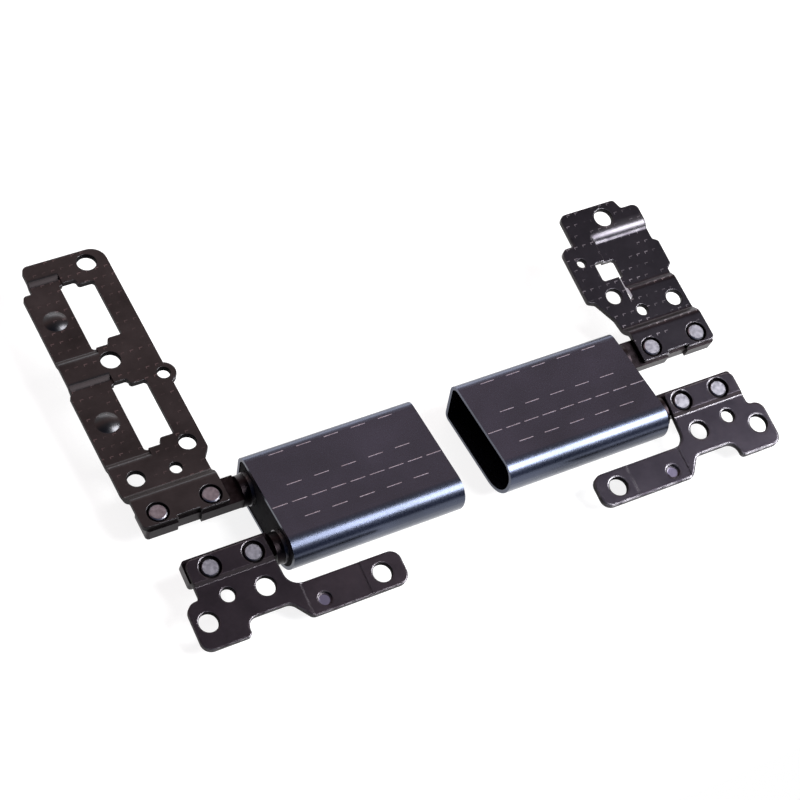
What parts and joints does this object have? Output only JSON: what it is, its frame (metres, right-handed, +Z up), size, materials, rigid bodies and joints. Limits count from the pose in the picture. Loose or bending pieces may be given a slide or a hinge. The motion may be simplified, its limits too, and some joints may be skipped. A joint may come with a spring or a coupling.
{
  "type": "laptop hinge pair",
  "caption": "Mirrored friction hinges of a convertible laptop: slate sleeves that carry parallel shafts with riveted, pressed lid and base brackets that turn and stay where put.",
  "frame": {"origin": "middle of the pair's box, on the bench under the sleeves", "axes": "+X along the shafts, from the left hinge to the right one; +Y from the base brackets to the lid brackets; +Z up"},
  "size_m": [0.0896, 0.0652, 0.0104],
  "materials": {
    "sleeve_coat": "satin slate coat on folded steel",
    "bracket_coat": "dark brown-black coat on pressed steel",
    "rivet_steel": "bare pressed rivet heads",
    "shaft_steel": "blackened oiled steel",
    "mouth_plate_steel": "black glossy plate",
    "plate_steel": "greased stamped steel",
    "spring_steel": "tempered spring steel",
    "nut_zinc": "zinc plate"
  },
  "bodies": {
    "sleeves": {"left_sleeve": "sleeve_coat", "left_mouth_plate": "mouth_plate_steel", "left_stop_plate": "plate_steel", "left_friction_plates": "plate_steel", "left_tie_pins": "plate_steel", "right_sleeve": "sleeve_coat", "right_mouth_plate": "mouth_plate_steel", "right_stop_plate": "plate_steel", "right_friction_plates": "plate_steel", "right_tie_pins": "plate_steel"},
    "left_lid": {"left_lid_bracket": "bracket_coat", "left_lid_shaft": "shaft_steel", "left_lid_rivets": "rivet_steel", "left_lid_thrust_washer": "shaft_steel", "left_lid_stop_cam": "plate_steel", "left_lid_friction_discs": "plate_steel", "left_lid_disc_springs": "spring_steel", "left_lid_pressure_washer": "nut_zinc", "left_lid_lock_nut": "nut_zinc"},
    "left_base": {"left_base_bracket": "bracket_coat", "left_base_shaft": "shaft_steel", "left_base_rivets": "rivet_steel", "left_base_thrust_washer": "shaft_steel", "left_base_stop_cam": "plate_steel", "left_base_friction_discs": "plate_steel", "left_base_disc_springs": "spring_steel", "left_base_pressure_washer": "nut_zinc", "left_base_lock_nut": "nut_zinc"},
    "right_lid": {"right_lid_bracket": "bracket_coat", "right_lid_shaft": "shaft_steel", "right_lid_rivets": "rivet_steel", "right_lid_thrust_washer": "shaft_steel", "right_lid_stop_cam": "plate_steel", "right_lid_friction_discs": "plate_steel", "right_lid_disc_springs": "spring_steel", "right_lid_pressure_washer": "nut_zinc", "right_lid_lock_nut": "nut_zinc"},
    "right_base": {"right_base_bracket": "bracket_coat", "right_base_shaft": "shaft_steel", "right_base_rivets": "rivet_steel", "right_base_thrust_washer": "shaft_steel", "right_base_stop_cam": "plate_steel", "right_base_friction_discs": "plate_steel", "right_base_disc_springs": "spring_steel", "right_base_pressure_washer": "nut_zinc", "right_base_lock_nut": "nut_zinc"}
  },
  "joints": [
    {"name": "left_lid_turn", "type": "hinge", "parent": "sleeves", "child": "left_lid", "pos_m": [-0.02865, -0.01167, 0.00375], "axis": [1, 0, 0], "range_deg": [-93.9, 86.1]},
    {"name": "left_base_turn", "type": "hinge", "parent": "sleeves", "child": "left_base", "pos_m": [-0.02865, -0.02177, 0.00375], "axis": [1, 0, 0], "range_deg": [-104.65, 75.35]},
    {"name": "right_lid_turn", "type": "hinge", "parent": "sleeves", "child": "right_lid", "pos_m": [0.02894, -0.01167, 0.00375], "axis": [1, 0, 0], "range_deg": [-104.9, 75.1]},
    {"name": "right_base_turn", "type": "hinge", "parent": "sleeves", "child": "right_base", "pos_m": [0.02894, -0.02177, 0.00375], "axis": [1, 0, 0], "range_deg": [-104.65, 75.35]}
  ]
}
